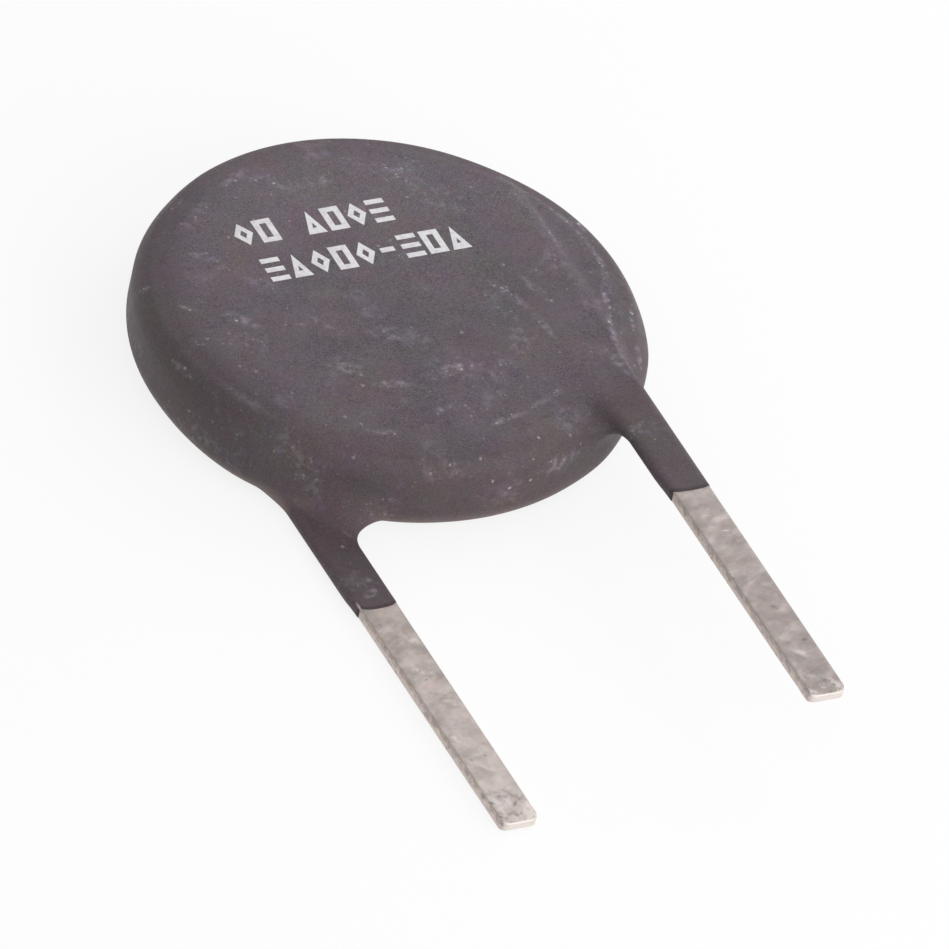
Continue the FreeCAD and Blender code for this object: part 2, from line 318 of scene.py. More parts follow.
coatLook = {
    "deep": (57, 48, 54),
    "body": (94, 81, 89),
    "grey": (86, 81, 84),
    # the rim's tone is painted shade, warmed as by light bounced from the floor
    "rim": (83, 70, 70),
    "pale": (134, 122, 131),
    # the dust colour, also laid as a painted sheen that grows towards the back
    "dustAndSheen": (168, 159, 170),
    "speck": (226, 220, 224),
    # the coat end's dark edge with painted shade along it, also used for painted shade in the
    # front lead's corner
    "end": (54, 46, 49),
    "bare": (196, 186, 182),
    "shade": (58, 48, 51),
    "bounce": (152, 130, 124),
    "roughness": 0.62,
    "specular": 0.35,
    # size, detail, lower limit, upper limit and weight of the clouds that go from deep to body
    "clouds": [
        (5.5, 4.0, 0.32, 0.68, 0.36),
        (1.5, 5.0, 0.3, 0.7, 0.32),
        (0.3, 4.0, 0.3, 0.7, 0.36),
    ],
    # how much of each layer shows, and where it is a pair, near the leads and far from them
    "greyShare": 0.3,
    "paleShare": (0.53, 0.8),
    "rimShare": 0.6,
    "shoulderShare": 0.36,
    "bounceShare": 0.62,
    "backSheenShare": 0.05,
    "strayShare": (0.62, 0.85),
    "cloudShare": 0.62,
    "streakShare": 0.6,
    "speckShare": 0.85,
    "endShare": 0.75,
    # centre, turn, half lengths, strength and colour of the shade in the front lead's corner
    "pockets": [
        ((8.9, -13.3, 4.4), -17.2, (2.4, 1.5, 2.6), 0.5, "shade"),
        ((8.9, -14.1, 4.6), -11.5, (1.0, 1.5, 1.7), 0.8, "end"),
    ],
    # size and amount of each drift of the hue
    "tints": [(5.0, 0.66), (0.28, 0.74)],
    "rubAngle": 14.5,
    # size and depth of each bump
    "bumps": [(0.16, 0.012), (0.9, 0.02)],
    "patchDepth": 0.95,
    # x, y, z, turn in degrees, half length, half width and strength of each dusty patch
    "patches": [
        (-5.0, 12.7, 6.2, 28, 1.8, 0.6, 0.95),
        (-2.8, 11.4, 6.2, -61, 2.5, 0.6, 0.6),
        (1.0, 13.4, 6.2, 2, 1.8, 0.6, 0.75),
        (3.3, 12.2, 6.2, -32, 2.0, 0.7, 0.45),
        (-8.9, 10.0, 6.2, 41, 3.1, 0.7, 0.55),
        (-10.1, 6.1, 6.2, -40, 1.3, 0.6, 0.6),
        (-10.5, -0.1, 6.2, -52, 1.9, 0.7, 0.85),
        (-5.5, -1.9, 6.2, -55, 2.4, 0.35, 0.5),
        (-5.8, -6.2, 6.2, -34, 1.9, 0.55, 0.85),
        (-3.8, -8.0, 6.2, -14, 1.8, 0.5, 0.95),
        (0.2, -7.7, 6.2, 10, 2.6, 0.7, 0.95),
        (1.0, -7.1, 6.2, -46, 1.1, 0.8, 0.75),
        (-1.7, -10.9, 6.2, 11, 1.1, 0.4, 0.85),
        (2.0, -12.6, 6.2, 10, 1.9, 0.4, 0.9),
        (5.1, -11.5, 6.2, 24, 2.6, 0.4, 0.55),
        (7.0, -2.1, 6.2, -66, 2.1, 0.55, 0.85),
        (8.9, -2.0, 6.2, -75, 1.9, 0.5, 0.75),
        (7.9, -5.3, 6.2, -81, 1.7, 0.4, 0.65),
        (12.7, 6.75, 5.9, -62, 2.4, 0.26, 0.7),
        (13.7, 4.45, 5.9, -72, 2.4, 0.28, 0.8),
        (14.25, 2.0, 5.9, -82, 2.2, 0.3, 0.8),
        (14.3, -0.1, 5.9, 89, 1.7, 0.36, 0.85),
        (13.8, -1.9, 6.0, 78, 1.8, 0.4, 0.9),
        (14.8, -2.4, 5.0, -60, 1.8, 0.5, 0.85),
        (12.2, 2.7, 6.2, 88, 3.4, 0.25, 0.7),
        (12.9, -3.9, 6.1, 74, 2.2, 0.35, 0.95),
        (12.0, -6.6, 6.2, 73, 2.7, 0.4, 1.0),
        (11.5, -9.8, 6.2, -89, 2.4, 0.3, 1.0),
        (14.7, -4.7, 5.0, 70, 3.5, 0.5, 0.6),
        (13.9, -5.7, 5.7, 71, 1.7, 0.3, 0.95),
        (13.0, -8.7, 5.35, 80, 1.2, 0.35, 1.0),
        (10.9, -9.4, 6.2, -80, 2.1, 0.5, 0.95),
        (6.6, 7.1, 6.2, -40, 3.0, 0.8, 0.4),
        (-6.4, -11.7, 5.9, -20, 1.4, 0.4, 0.85),
        (-4.4, -15.1, 4.9, -40, 1.6, 0.4, 0.35),
        (4.6, -15.2, 4.0, 15, 2.1, 0.5, 0.85),
        (-13.2, -6.6, 6.0, -66, 3.0, 0.6, 0.3),
        (-15.5, -2.4, 5.2, -77, 1.6, 0.22, 0.62),
        (-13.2, 2.0, 6.0, -45, 0.8, 0.35, 0.8),
        (-14.7, 4.9, 5.4, -60, 0.7, 0.35, 0.8),
        (-8.7, -13.8, 1.2, -36, 1.1, 0.4, 0.85),
        (-14.9, -0.4, 4.2, 90, 2.1, 0.35, 0.75),
        (-14.0, 6.1, 4.6, 84, 1.2, 0.4, 0.5),
        (-9.2, -15.3, 1.6, -55, 1.1, 0.2, 1.0),
        (-10.2, -20.4, 1.0, 25, 1.0, 0.45, 0.9),
        (-10.0, -19.2, 1.0, -40, 0.7, 0.4, 0.8),
    ],
}


def makeCoatMaterial():
    look = coatLook
    material, board, shader, place = startMaterial("coatMaterial", look["roughness"],
                                                   specular=look["specular"])
    spot = board.add("ShaderNodeSeparateXYZ", Vector=place).outputs
    tone = 0.0
    for size, detail, low, high, weight in look["clouds"]:
        small = clouds(board, place, size, detail, low, high)
        tone = board.times(small, weight, tone)
    colour = board.between(tone, look["deep"], look["body"])
    hue = clouds(board, place, 2.2, 4.0, 0.4, 0.65, (21, 5, 9))
    colour = board.layer(colour, hue, look["greyShare"], look["grey"])
    grain = clouds(board, place, 0.085, 1.0, 0.25, 0.75)
    farther = board.range(spot["Y"], -4.0, 9.0, *look["paleShare"])
    colour = board.layer(colour, grain, farther, look["pale"])

    # the rim darker and browner, painted shade warmed as by light bounced from the floor;
    # painted shade on the shoulder on the left; painted light from below on the low edge; a
    # painted sheen, lighter towards the back; and painted shade in the front lead's corner
    reach = board.vector("LENGTH", board.vector("MULTIPLY", place, (1, 1, 0)))
    # painted shade over the rim, browner as by warm light bounced from the floor
    colour = board.layer(colour, board.range(reach, 12.5, 16.5), look["rimShare"], look["rim"])
    shoulder = board.product(board.range(reach, 12.0, 14.2), board.range(spot["Z"], 2.2, 4.6),
                             board.range(spot["X"], -4.0, -10.0),
                             board.range(spot["Y"], -11.0, -4.0))
    colour = board.layer(colour, shoulder, look["shoulderShare"], look["shade"])
    slant = board.math("ADD", spot["X"], spot["Y"])
    lowEdge = board.product(board.range(spot["Z"], 2.0, 0.3), board.range(reach, 13.5, 15.0),
                            board.range(reach, 16.9, 16.2), board.range(slant, 2.0, -8.0))
    colour = board.layer(colour, lowEdge, look["bounceShare"], look["bounce"])
    # painted sheen: the face grows lighter towards the back, as the light falls there
    film = board.range(spot["Y"], -13.0, 13.0)
    colour = board.layer(colour, film, look["backSheenShare"], look["dustAndSheen"])
    for centre, turn, sides, strength, dark in look["pockets"]:
        pocket = oval(board, place, centre, turn, sides)
        colour = board.layer(colour, pocket, strength, look[dark])

    # where dust gathers: the placed patches and some stray clouds, with a calm corner
    dusty = None
    for x, y, z, turn, length, width, strength in look["patches"]:
        sides = (length, width, look["patchDepth"])
        patch = oval(board, place, (x, y, z), turn, sides, strength)
        dusty = patch if dusty is None else board.math("MAXIMUM", dusty, patch)
    stray = clouds(board, place, 3.4, 3.0, 0.5, 0.75)
    calm = oval(board, place, (-9.3, -11.2, 5.2), -40.1, (4.2, 2.6, 2.6))
    upper = board.range(spot["Y"], -6.0, 8.0, *look["strayShare"])
    stray = board.times(stray, board.math("SUBTRACT", upper, calm))
    dusty = board.math("MAXIMUM", dusty, stray)

    # the dust itself: broken clouds, streaks along the rubbing direction, fine and bold specks
    broken = clouds(board, place, 0.55, 8.0, 0.44, 0.62)
    cloud = board.times(dusty, board.times(broken, 0.85, 0.15))
    colour = board.layer(colour, cloud, look["cloudShare"], look["dustAndSheen"])
    rub = (0, 0, math.radians(look["rubAngle"]))
    streaks = board.group(rubStreaks, Place=place, Turn=rub, Stretch=(0.5, 0.12, 0.4),
                          From=0.6, To=0.76)
    streaks = board.times(streaks, board.times(dusty, 0.9, 0.05))
    colour = board.layer(colour, streaks, look["streakShare"], look["dustAndSheen"])
    fine = board.group(dustSpecks, Place=place, Spacing=0.32, Reach=0.34, Share=0.42)
    bold = board.group(dustSpecks, Place=board.vector("ADD", place, (7.3, 3.1, 1.7)),
                       Spacing=0.75, Reach=0.17, Share=0.3)
    sparse = board.times(bold, board.times(dusty, 0.58, 0.42))
    dense = board.times(fine, board.times(dusty, 0.95, 0.06))
    specks = board.math("MAXIMUM", sparse, dense)
    colour = board.layer(colour, specks, look["speckShare"], look["speck"])

    # the coat's dark end, its thick edge with painted shade along it, follows its curve over
    # each strip, and leaves a bare sliver at the side
    edge = board.math("DIVIDE", besideStrip(board, spot), 1.35)
    edge = board.math("POWER", board.math("MINIMUM", edge, 1.0), 3.0)
    curved = board.math("ADD", spot["Y"], board.times(edge, -0.25))
    atEnd = board.range(curved, coatLow[1] + 0.36, coatLow[1] + 0.1)
    colour = board.layer(colour, atEnd, look["endShare"], look["end"])
    sliver = oval(board, place, (-11.5, -21.35, 0.9), 0, (0.1, 0.6, 0.2))
    colour = board.blend(sliver, colour, linearColour(*look["bare"]))
    for size, amount in look["tints"]:
        tint = board.group(tintDrift, Place=place, Size=size, Amount=amount)
        colour = board.blend(1.0, colour, tint, "MULTIPLY")
    board.feed(shader, "Base Color", colour)

    dull = board.times(cloud, 0.2, look["roughness"])
    board.feed(shader, "Roughness", board.times(small, -0.08, dull))
    rough, peel = [board.group(fineGrain, Place=place, Size=size, Depth=depth)
                   for size, depth in look["bumps"]]
    finishBump(board, shader, board.math("ADD", rough, peel))
    return material


# Tinned strip material: matt tin with mottling, streaks across the strip and dark scuffs

tinLook = {
    "body": (195, 183, 178),
    "shade": (170, 159, 154),
    "front": (156, 147, 144),
    "bright": (224, 215, 211),
    "grime": (122, 112, 108),
    "grain": (150, 140, 137),
    "torn": (224, 211, 205),
    "burnished": (181, 170, 163),
    # painted shade along the long edges of the top faces
    "edge": (148, 142, 130),
    # painted reflection on the tips' end faces
    "end": (236, 228, 222),
    "roughness": 0.55,
    "tipLength": 2.6,
    # how much of each layer shows, and where it is a pair, at the coat and at the tip
    "frontShare": (0.45, 0.75),
    "tipShare": 0.3,
    "acrossShare": 0.5,
    "grainShare": 0.22,
    "speckShare": 0.45,
    "bitShare": 0.55,
    "poreShare": 0.5,
    "sideShare": 0.85,
    "edgeShadeShare": 0.45,
    "endShare": 0.8,
    "tint": (0.8, 0.3),
    # x, y, z, turn in degrees, half length and half width: bright rubs, then dark dents
    "rubs": [
        (-10.9, -34.2, 0.9, -62, 1.0, 0.3),
        (-10.6, -27.6, 0.9, 30, 0.5, 0.3),
        (-10.0, -28.1, 0.9, -30, 0.6, 0.3),
        (-9.7, -31.0, 0.9, -40, 0.9, 0.35),
        (-10.2, -37.0, 0.9, -50, 1.0, 0.35),
        (-9.6, -25.0, 0.9, -45, 0.9, 0.45),
        (10.6, -25.8, 6.1, -14, 0.4, 0.12),
        (10.2, -37.5, 6.1, -40, 0.9, 0.4),
    ],
    "dents": [
        (10.5, -33.1, 6.1, -35, 0.6, 0.3),
        (10.9, -36.4, 6.1, 20, 0.4, 0.25),
        (-10.3, -30.0, 0.9, -30, 0.7, 0.2),
        (-11.0, -36.0, 0.9, -60, 0.6, 0.15),
        (-10.5, -39.8, 0.9, -20, 0.6, 0.25),
    ],
}


def makeTinMaterial():
    look = tinLook
    material, board, shader, place = startMaterial("tinMaterial", look["roughness"], 0.75)
    spot = board.add("ShaderNodeSeparateXYZ", Vector=place).outputs
    facing = board.add("ShaderNodeTexCoord").outputs["Normal"]
    facing = board.add("ShaderNodeSeparateXYZ", Vector=facing).outputs
    endY = stripFront[0][1]

    mottle = clouds(board, place, 1.2, 6.0, 0.32, 0.68)
    colour = board.between(mottle, look["body"], look["shade"])
    onFront = board.math("GREATER_THAN", spot["Z"], discMiddle)
    onBack = board.math("SUBTRACT", 1.0, onFront)
    farther = board.range(spot["Y"], coatLow[1], endY, *look["frontShare"])
    colour = board.layer(colour, onFront, farther, look["front"])
    nearer = board.range(spot["Y"], endY + 14, endY + 3, 0.0, look["tipShare"])
    colour = board.layer(colour, onBack, nearer, look["bright"])
    across = board.group(rubStreaks, Place=place, Turn=(0, 0, math.radians(-28)),
                         Stretch=(1.5, 0.7, 0.6), From=0.45, To=0.85)
    colour = board.layer(colour, across, look["acrossShare"], look["bright"])
    grain = clouds(board, place, 0.09, 2.0, 0.3, 0.7)
    colour = board.layer(colour, grain, look["grainShare"], look["grain"])

    # grime and scrapes, mostly at the tips, then the placed rubs and dents
    tip = board.range(spot["Y"], endY + look["tipLength"], endY + 0.6)
    worn = clouds(board, place, 0.55, 5.0, 0.5, 0.72, (3, 11, 5))
    grime = board.times(worn, board.times(tip, 0.6, 0.14))
    colour = board.blend(grime, colour, linearColour(*look["grime"]))
    scraped = clouds(board, place, 0.7, 4.0, 0.5, 0.62, (13, 2, 8))
    tipMore = board.times(tip, 0.5, 0.08)
    colour = board.layer(colour, scraped, tipMore, look["bright"])
    specks = board.group(dustSpecks, Place=place, Spacing=0.5, Reach=0.24, Share=0.3)
    colour = board.layer(colour, specks, look["speckShare"], look["grime"])
    ragged = clouds(board, place, 0.4, 6.0, 0.35, 0.6)
    for marks, tone, share in (("rubs", "bright", 0.6), ("dents", "grime", 0.7)):
        for x, y, z, turn, length, width in look[marks]:
            mark = oval(board, place, (x, y, z), turn, (length, width, 0.4), share)
            colour = board.layer(colour, mark, ragged, look[tone])

    # narrow sides: burnished above, torn and bright below, with a ragged line between
    level = board.math("SUBTRACT", spot["Z"], stripBack[0][2])
    level = board.times(onFront, -stripRise, level)
    level = board.math("DIVIDE", level, stripThick)
    wander = board.add("ShaderNodeTexNoise", Vector=place, Scale=1.9, Detail=5.0).outputs["Fac"]
    level = board.times(wander, 1.5, board.math("SUBTRACT", level, 0.75))
    onSide = board.range(board.math("ABSOLUTE", facing["Z"]), 0.75, 0.4)
    upper = board.range(level, 0.3, 0.65)
    side = board.between(upper, look["torn"], look["burnished"])
    bits = clouds(board, place, 0.4, 4.0, 0.42, 0.62, (4, 9, 2))
    side = board.layer(side, bits, look["bitShare"], look["torn"])
    pores = clouds(board, place, 0.5, 3.0, 0.58, 0.72, (17, 6, 1))
    side = board.layer(side, pores, look["poreShare"], look["grime"])
    colour = board.blend(board.times(onSide, look["sideShare"]), colour, side)
    # painted shade: a darker line along the top faces' long edges, where they round over
    beside = board.range(besideStrip(board, spot), 1.1, 1.2)
    edgeShade = board.times(beside, board.math("SUBTRACT", 1.0, onSide))
    colour = board.layer(colour, edgeShade, look["edgeShadeShare"], look["edge"])
    # the tips' end faces painted bright: a painted reflection of the pale floor and backdrop
    atEnd = board.range(board.times(facing["Y"], -1.0), 0.5, 0.85)
    colour = board.layer(colour, atEnd, look["endShare"], look["end"])
    size, amount = look["tint"]
    tint = board.group(tintDrift, Place=place, Size=size, Amount=amount)
    board.feed(shader, "Base Color", board.blend(1.0, colour, tint, "MULTIPLY"))

    rough = board.times(mottle, 0.1, look["roughness"])
    board.feed(shader, "Roughness", board.times(onSide, 0.12, rough))
    fine = board.group(fineGrain, Place=place, Size=0.12, Depth=0.006)
    waves = board.group(fineGrain, Place=place, Size=1.4, Depth=0.012)
    pits = board.times(board.math("ADD", specks, grime), -0.014)
    finishBump(board, shader, board.math("ADD", board.math("ADD", fine, waves), pits))
    return material


# Ink of the print, and the finishes of what the coat encloses

inkLook = {
    "fresh": (255, 254, 255),
    "worn": (238, 233, 239),
    "roughness": 0.55,
}


def makeInkMaterial():
    look = inkLook
    material, board, shader, place = startMaterial("inkMaterial", look["roughness"])
    worn = clouds(board, place, 0.35, 5.0, 0.35, 0.7)
    colour = board.between(worn, look["fresh"], look["worn"])
    board.feed(shader, "Base Color", colour)
    board.feed(shader, "Roughness", board.times(worn, 0.15, look["roughness"]))
    finishBump(board, shader, board.group(fineGrain, Place=place, Size=0.1, Depth=0.006))
    return material


def makePlainMaterial(name, light, dark, roughness, metallic, size, depth):
    material, board, shader, place = startMaterial(name, roughness, metallic)
    mottle = clouds(board, place, size, 5.0, 0.35, 0.65)
    specks = board.group(dustSpecks, Place=place, Spacing=size, Reach=0.25, Share=0.3)
    colour = board.between(mottle, light, dark)
    colour = board.layer(colour, specks, 0.4, dark)
    board.feed(shader, "Base Color", colour)
    board.feed(shader, "Roughness", board.times(mottle, 0.12, roughness))
    finishBump(board, shader, board.group(fineGrain, Place=place, Size=size / 4, Depth=depth))
    return material


coatMaterial = makeCoatMaterial()
tinMaterial = makeTinMaterial()
inkMaterial = makeInkMaterial()
print("materials made")


# Mesh helpers

def makeObject(name, points, faces, material, smooth=True):
    mesh = bpy.data.meshes.new(name)
    mesh.from_pydata((np.asarray(points) * mm).tolist(), [], [list(face) for face in faces])
    mesh.validate()
    piece = bpy.data.objects.new(name, mesh)
    scene.collection.objects.link(piece)
    mesh.materials.append(material)
    mesh.polygons.foreach_set("use_smooth", [smooth] * len(mesh.polygons))
    mesh.update()
    return piece


# Coat: a distance form of the disc and its two sleeves, flowing into each other, turned
# into a mesh. Lengths that the frame gives are read from it.

coatShape = {
    "edgeRound": 2.2,
    "slopeStart": 9.0,
    "slopeEnd": 14.4,
    "slopeDrop": 0.27,
    "stripKeep": 0.85,
    "film": 0.1,
    "sleeveRound": 0.36,
    "flankRound": 0.5,
    "flankSwell": 0.18,
    "flankLength": 2.4,
    "sleeveRoot": -4.5,
    "sinkStart": -8.2,
    "sleeveSink": 0.8,
    "endBulge": (0.34, 0.16),
    "endRound": 0.1,
    "endWander": 0.05,
    "skirtLength": 2.85,
    "skirtRise": 0.7,
    "skirtSlope": 0.75,
    "webFaceShare": 0.45,
    # width of the web on the inner side, then how far the corner is filled in:
    # on the outer side, on the inner side and at the disc's face
    "back": (2.5, 1.0, 2.2, 1.0),
    "front": (1.3, 0.6, 1.6, 0.3),
    # angle on the rim, spread in degrees, height, spread in height and swell
    "swells": [
        (214, 13, 1.0, 2.6, 0.30),
        (200, 12, 1.5, 2.6, 0.14),
        (245, 12, 1.5, 2.6, 0.08),
        (306, 9, 1.5, 2.4, 0.12),
        (-30, 12, 3.2, 2.4, 0.36),
        (40, 14, 4.5, 3.0, -0.13),
        (125, 10, 4.5, 3.0, -0.08),
    ],
    "cell": 0.21,
    "wave": 0.035,
    "waveSize": 6.0,
    "ripple": 0.010,
    "rippleSize": 1.6,
}


def roundCorner(first, second, turn):
    first = first + turn
    second = second + turn
    past = np.hypot(np.maximum(first, 0), np.maximum(second, 0))
    return np.minimum(np.maximum(first, second), 0) + past - turn


def flowTogether(first, second, reach):
    near = np.hypot(np.maximum(reach - first, 0), np.maximum(reach - second, 0))
    return np.maximum(reach, np.minimum(first, second)) - near


def discDistance(points):
    shape = coatShape
    x, y, z = points.T
    angle = np.degrees(np.arctan2(y, x))
    swell = np.zeros(len(points))
    for centre, spread, height, rise, amount in shape["swells"]:
        turn = (angle - centre + 180) % 360 - 180
        swell += amount * np.exp(-(turn / spread) ** 2 - ((z - height) / rise) ** 2)
    out = np.hypot(x, y) - discRadius - swell
    return roundCorner(out, np.abs(z - discMiddle) - discMiddle, shape["edgeRound"])


def sleeveDistance(points, strip, sign, web):
    # sign is 1 for the front lead and -1 for the back one, and u points away from the
    # disc's middle along X, w towards its middle along Z
    shape = coatShape
    x, y, z = points.T
    low, high = strip
    centreX, centreZ = (low + high)[[0, 2]] / 2
    halfX, halfZ = (high - low)[[0, 2]] / 2 + shape["film"]
    sink = shape["sleeveSink"] * ramp(y, shape["sinkStart"], shape["sleeveRoot"])
    u = sign * (x - centreX)
    w = -sign * (z - centreZ) - sink

    rim = math.sqrt(discRadius ** 2 - (abs(centreX) - halfX) ** 2)
    spread = np.clip((rim + shape["skirtLength"] + y) / shape["skirtLength"], 0, 1.8) ** 2
    rise = shape["skirtRise"] * spread * (1 - shape["skirtSlope"] * ramp(u, -halfX - 0.6, halfX))
    level = np.clip((w + halfZ) / (2 * halfZ + rise), 0, 1)
    inner = web * spread * (shape["webFaceShare"] + (1 - shape["webFaceShare"]) * level)
    swell = ramp(y, coatLow[1] + 0.3, coatLow[1] + shape["flankLength"])
    extra = shape["flankSwell"] * swell
    uLow = -halfX - inner - extra * (sign > 0)
    uHigh = halfX + extra * (sign < 0)
    across = np.abs(u - (uLow + uHigh) / 2) - (uHigh - uLow) / 2
    up = np.abs(w - rise / 2) - (halfZ + rise / 2)
    onFlank = x < centreX
    turn = shape["sleeveRound"] + (shape["flankRound"] - shape["sleeveRound"]) * swell * onFlank
    section = roundCorner(across, up, turn)

    edge = np.abs((x - centreX) / halfX) ** 3
    end = coatLow[1] + shape["endBulge"][int(sign > 0)] * edge
    end = end + shape["endWander"] * (0.5 + 0.5 * lumps(points, 0.7, 11))
    past = np.maximum(end - y, y - shape["sleeveRoot"])
    return roundCorner(section, past, shape["endRound"])


def coatDistance(points):
    shape = coatShape
    x, z = points.T[[0, 2]]
    whole = discDistance(points)
    for strip, sign, (web, outerFill, innerFill, faceFill) in (
            (stripBack, -1, shape["back"]), (stripFront, 1, shape["front"])):
        sleeve = sleeveDistance(points, strip, sign, web)
        inner, outer = sorted(abs(corner[0]) for corner in strip)
        fill = outerFill + (innerFill - outerFill) * ramp(sign * x, outer, inner)
        depth = ramp(discMiddle - sign * (z - discMiddle), 0.1, 1.2)
        whole = flowTogether(whole, sleeve, faceFill + (fill - faceFill) * depth)
    return np.maximum(whole, np.maximum(z - discHeight, -z))


def coatGradient(points):
    step = 0.01
    slopes = []
    for axis in range(3):
        shift = np.zeros(3)
        shift[axis] = step
        slopes.append((coatDistance(points + shift) - coatDistance(points - shift)) / (2 * step))
    return np.array(slopes).T


def settle(points, rounds):
    for _ in range(rounds):
        slope = coatGradient(points)
        size = np.maximum((slope ** 2).sum(axis=1), 0.05)
        move = (coatDistance(points) / size)[:, None] * slope
        points = points - np.clip(move, -0.15, 0.15)
    return points


def wrapGrid():
    cell = coatShape["cell"]
    low = coatLow - 2.4 * cell
    counts = np.ceil((coatHigh - low) / cell).astype(int) + 4
    axes = [low[axis] + cell * np.arange(counts[axis]) for axis in range(3)]
    grid = np.stack(np.meshgrid(*axes, indexing="ij"), axis=-1)
    values = coatDistance(grid.reshape(-1, 3)).reshape(counts)
    inside = values < 0

    sums = np.zeros(tuple(counts - 1) + (3,))
    hits = np.zeros(tuple(counts - 1))
    crossings = []
    for axis in range(3):
        first = [slice(None)] * 3
        second = [slice(None)] * 3
        first[axis] = slice(0, -1)
        second[axis] = slice(1, None)
        first, second = tuple(first), tuple(second)
        crossed = inside[first] != inside[second]
        where = np.argwhere(crossed)
        start = values[first][crossed]
        share = start / (start - values[second][crossed])
        points = low + cell * where.astype(float)
        points[:, axis] += cell * share
        crossings.append((where, inside[first][crossed]))
        sides = [other for other in range(3) if other != axis]
        for stepA in (0, -1):
            for stepB in (0, -1):
                target = where.copy()
                target[:, sides[0]] += stepA
                target[:, sides[1]] += stepB
                np.add.at(sums, tuple(target.T), points)
                np.add.at(hits, tuple(target.T), 1)
    used = hits > 0
    numbers = -np.ones(used.shape, dtype=int)
    numbers[used] = np.arange(used.sum())
    points = sums[used] / hits[used][:, None]

    faces = []
    for axis in range(3):
        where, startsInside = crossings[axis]
        sideA, sideB = (axis + 1) % 3, (axis + 2) % 3
        corners = []
        for stepA, stepB in ((0, 0), (-1, 0), (-1, -1), (0, -1)):
            target = where.copy()
            target[:, sideA] += stepA
            target[:, sideB] += stepB
            corners.append(numbers[tuple(target.T)])
        quads = np.array(corners).T
        quads[~startsInside] = quads[~startsInside][:, ::-1]
        faces.append(quads)
    return points, np.concatenate(faces)


def overStrip(points):
    # 1 where the coat has only its film over a strip, fading to 0 beside it
    x, y, z = points.T
    cover = np.zeros(len(points))
    for low, high in (stripBack, stripFront):
        centre, half = (low + high) / 2, (high - low) / 2
        beside = np.abs(x - centre[0]) - half[0]
        above = np.abs(z - centre[2]) - half[2]
        past = y - high[1]
        outside = np.abs(x) > max(abs(low[0]), abs(high[0]))
        near = ramp(beside, np.where(outside, 1.1, 2.6), 0.1) * ramp(above, 0.9, 0.25)
        cover = np.maximum(cover, near * ramp(past, 2.5, 0.2))
    return cover


def relaxFace(points):
    # the coat sinks a little towards its shoulder and is nowhere quite flat
    shape = coatShape
    slope = coatGradient(points)
    normal = slope / np.maximum(np.linalg.norm(slope, axis=1), 1e-6)[:, None]
    out = np.hypot(points[:, 0], points[:, 1])
    sunk = shape["slopeDrop"] * ramp(out, shape["slopeStart"], shape["slopeEnd"])
    sunk = sunk * ramp(normal[:, 2], 0.72, 0.97)
    waves = shape["wave"] * (0.5 + 0.5 * lumps(points, shape["waveSize"], 3))
    waves = waves + shape["ripple"] * (0.5 + 0.5 * lumps(points, shape["rippleSize"], 5))
    free = 1 - shape["stripKeep"] * overStrip(points)
    rests = ramp(points[:, 2], 0.3, 0.0)
    points = points - normal * ((sunk + waves) * free * (1 - rests))[:, None]
    return np.clip(points, coatLow, coatHigh)


def makeCoat():
    points, faces = wrapGrid()
    points = settle(points, 5)
    coat = makeObject("dippedCoat", points, faces, coatMaterial)
    form = bmesh.new()
    form.from_mesh(coat.data)
    for limit in (coatLow[1] + 1.0, coatLow[1] + 0.5):
        near = [edge for edge in form.edges
                if max(vert.co.y for vert in edge.verts) < limit * mm]
        bmesh.ops.subdivide_edges(form, edges=near, cuts=1, use_grid_fill=True)
    bmesh.ops.triangulate(form, faces=[face for face in form.faces if len(face.verts) > 4])
    bmesh.ops.recalc_face_normals(form, faces=form.faces)
    form.to_mesh(coat.data)
    form.free()
    mesh = coat.data
    points = np.empty(len(mesh.vertices) * 3)
    mesh.vertices.foreach_get("co", points)
    points = settle(points.reshape(-1, 3) / mm, 3)
    points = relaxFace(points)
    mesh.vertices.foreach_set("co", (points * mm).ravel())
    mesh.polygons.foreach_set("use_smooth", [True] * len(mesh.polygons))
    mesh.update()
    return coat


coat = makeCoat()
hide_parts("coating")
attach(coat, "root")
print("coat made,", len(coat.data.polygons), "faces")


# Tinned strips, sheared from sheet: rough narrow sides, soft broad faces, rounded tips

stripShape = {
    "step": 0.13,
    "hiddenStep": 1.2,
    "tipRound": 0.55,
    "tipThin": 0.23,
    "edgeRound": 0.09,
    "edgeSoft": 0.05,
    "acrossParts": 14,
    "sideParts": 6,
    # depths, each with the size of its lumps where it has them
    "shearDepth": 0.075,
    "faceWaves": [(0.012, 1.7), (0.006, 0.4)],
    "pits": (0.035, 0.45),
    "pitReach": 3.5,
}


def ringPoints(halfWidth, halfHeight, turn):
    # one section of the strip, counted round from the lower left edge
    shape = stripShape
    ring = []
    across = np.linspace(-halfWidth + turn, halfWidth - turn, shape["acrossParts"] + 1)
    up = np.linspace(-halfHeight + turn, halfHeight - turn, shape["sideParts"] + 1)
    soft = turn * (1 - math.sqrt(0.5))
    ring += [(value, -halfHeight) for value in across]
    ring.append((halfWidth - soft, -halfHeight + soft))
    ring += [(halfWidth, value) for value in up]
    ring.append((halfWidth - soft, halfHeight - soft))
    ring += [(value, halfHeight) for value in across[::-1]]
    ring.append((-halfWidth + soft, halfHeight - soft))
    ring += [(-halfWidth, value) for value in up[::-1]]
    ring.append((-halfWidth + soft, -halfHeight + soft))
    return np.array(ring)


